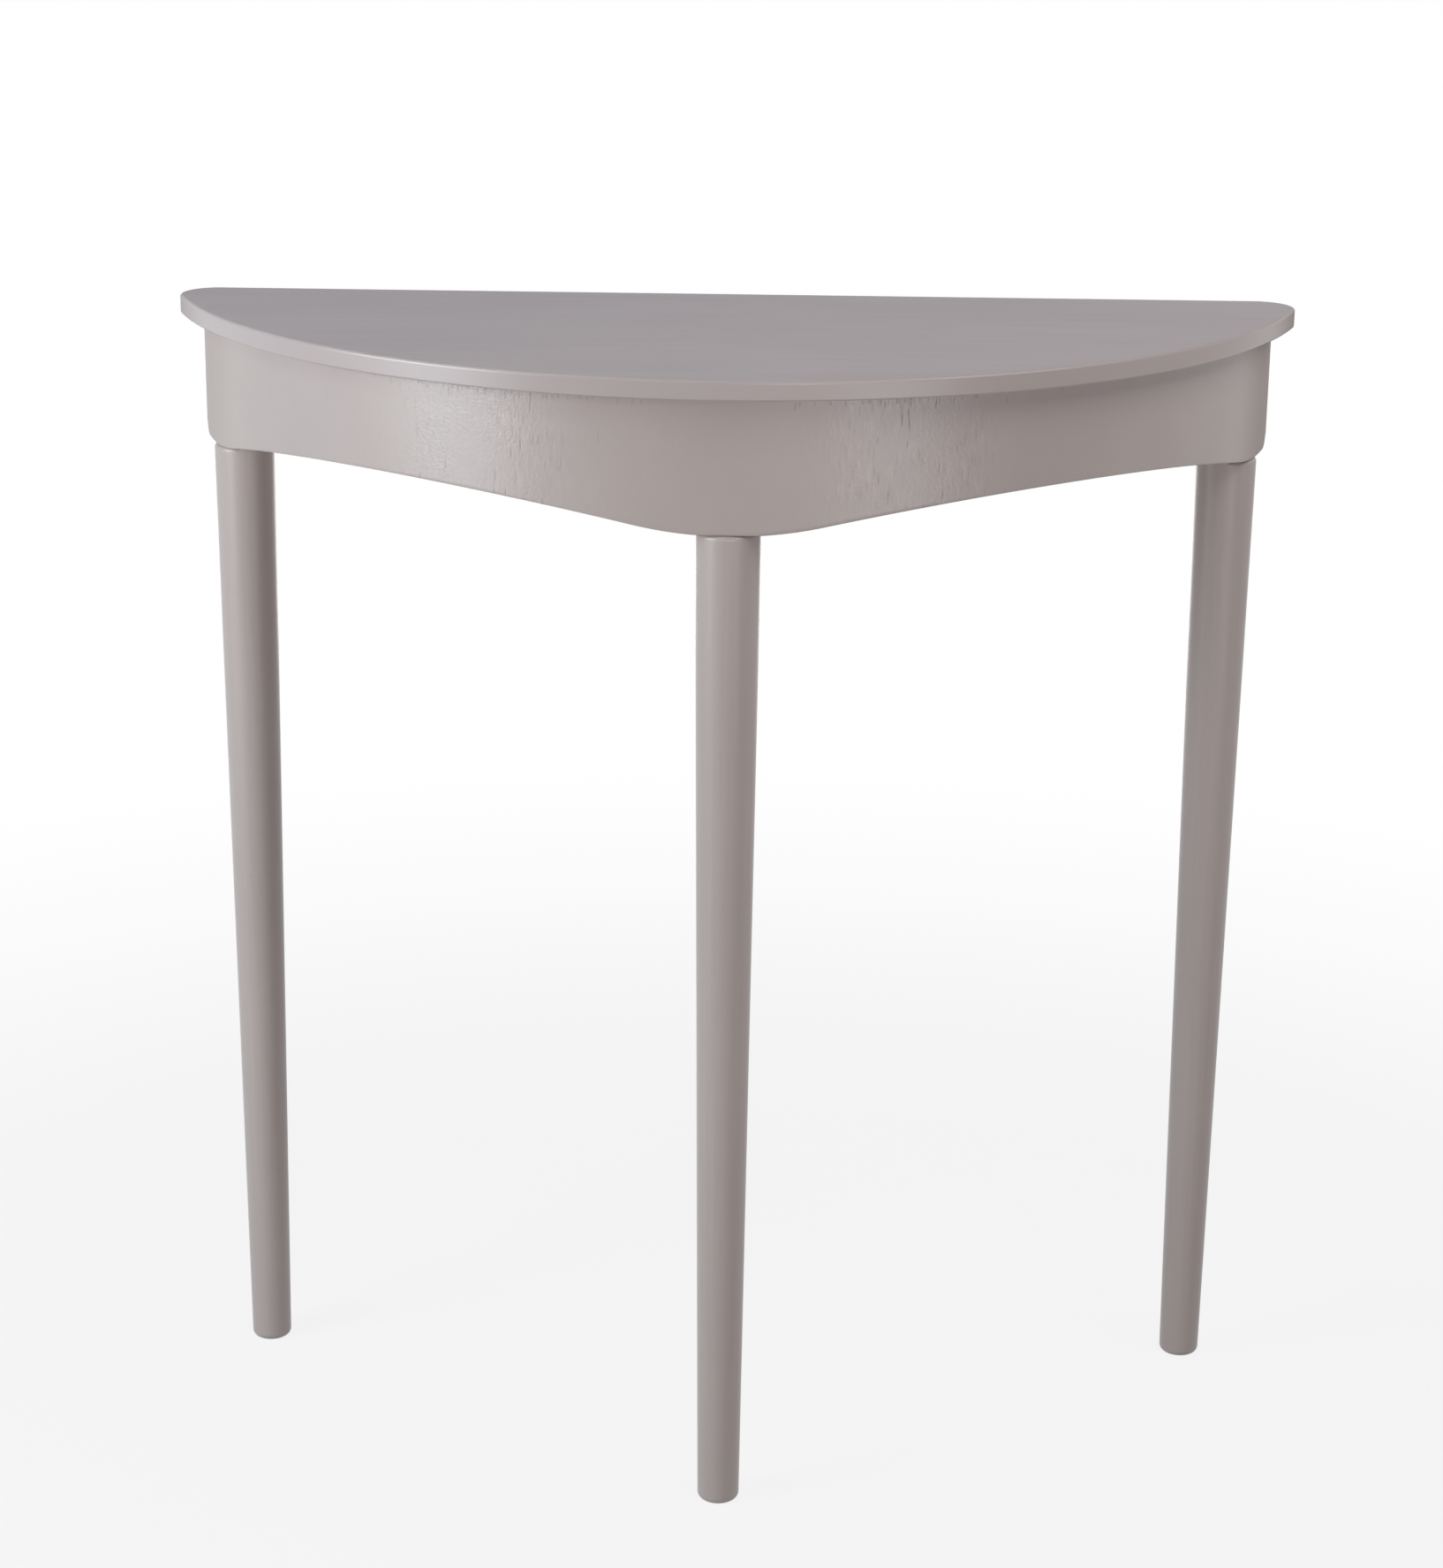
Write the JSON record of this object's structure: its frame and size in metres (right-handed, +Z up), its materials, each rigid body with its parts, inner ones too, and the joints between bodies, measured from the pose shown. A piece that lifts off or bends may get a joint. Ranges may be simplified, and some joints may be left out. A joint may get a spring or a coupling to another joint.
{
  "type": "demilune table",
  "caption": "Half-moon side table with a thin segment-shaped top, a bent apron whose lower edge is cut in shallow arches, and turned tapered legs; stands with its flat back to a wall.",
  "frame": {"origin": "on the floor, at the middle of the bounding box in plan", "axes": "+Z up, curved front towards -Y, flat back towards +Y, +X to the right as seen from the front"},
  "size_m": [0.731, 0.294, 0.75],
  "materials": {
    "painted_top": "satin warm grey paint",
    "painted_apron": "satin warm grey paint over ply",
    "painted_leg": "satin warm grey paint",
    "bare_plywood": "unfinished plywood",
    "bare_pine": "planed, unfinished",
    "zinc_steel": "zinc plated"
  },
  "bodies": {
    "root": {"top_panel": "painted_top", "apron_outer_ply": "painted_apron", "apron_inner_ply": "bare_plywood", "back_rail": "bare_pine", "front_leg_block": "bare_pine", "left_leg_block": "bare_pine", "right_leg_block": "bare_pine", "front_leg": "painted_leg", "left_leg": "painted_leg", "right_leg": "painted_leg", "glue_block_left_front": "bare_pine", "glue_block_left_rear": "bare_pine", "glue_block_right_front": "bare_pine", "glue_block_right_rear": "bare_pine", "rail_block_left": "bare_pine", "rail_block_right": "bare_pine", "leg_threaded_inserts": "zinc_steel", "leg_hanger_bolts": "zinc_steel", "rail_dowels": "bare_pine", "top_screws": "zinc_steel"}
  },
  "joints": []
}
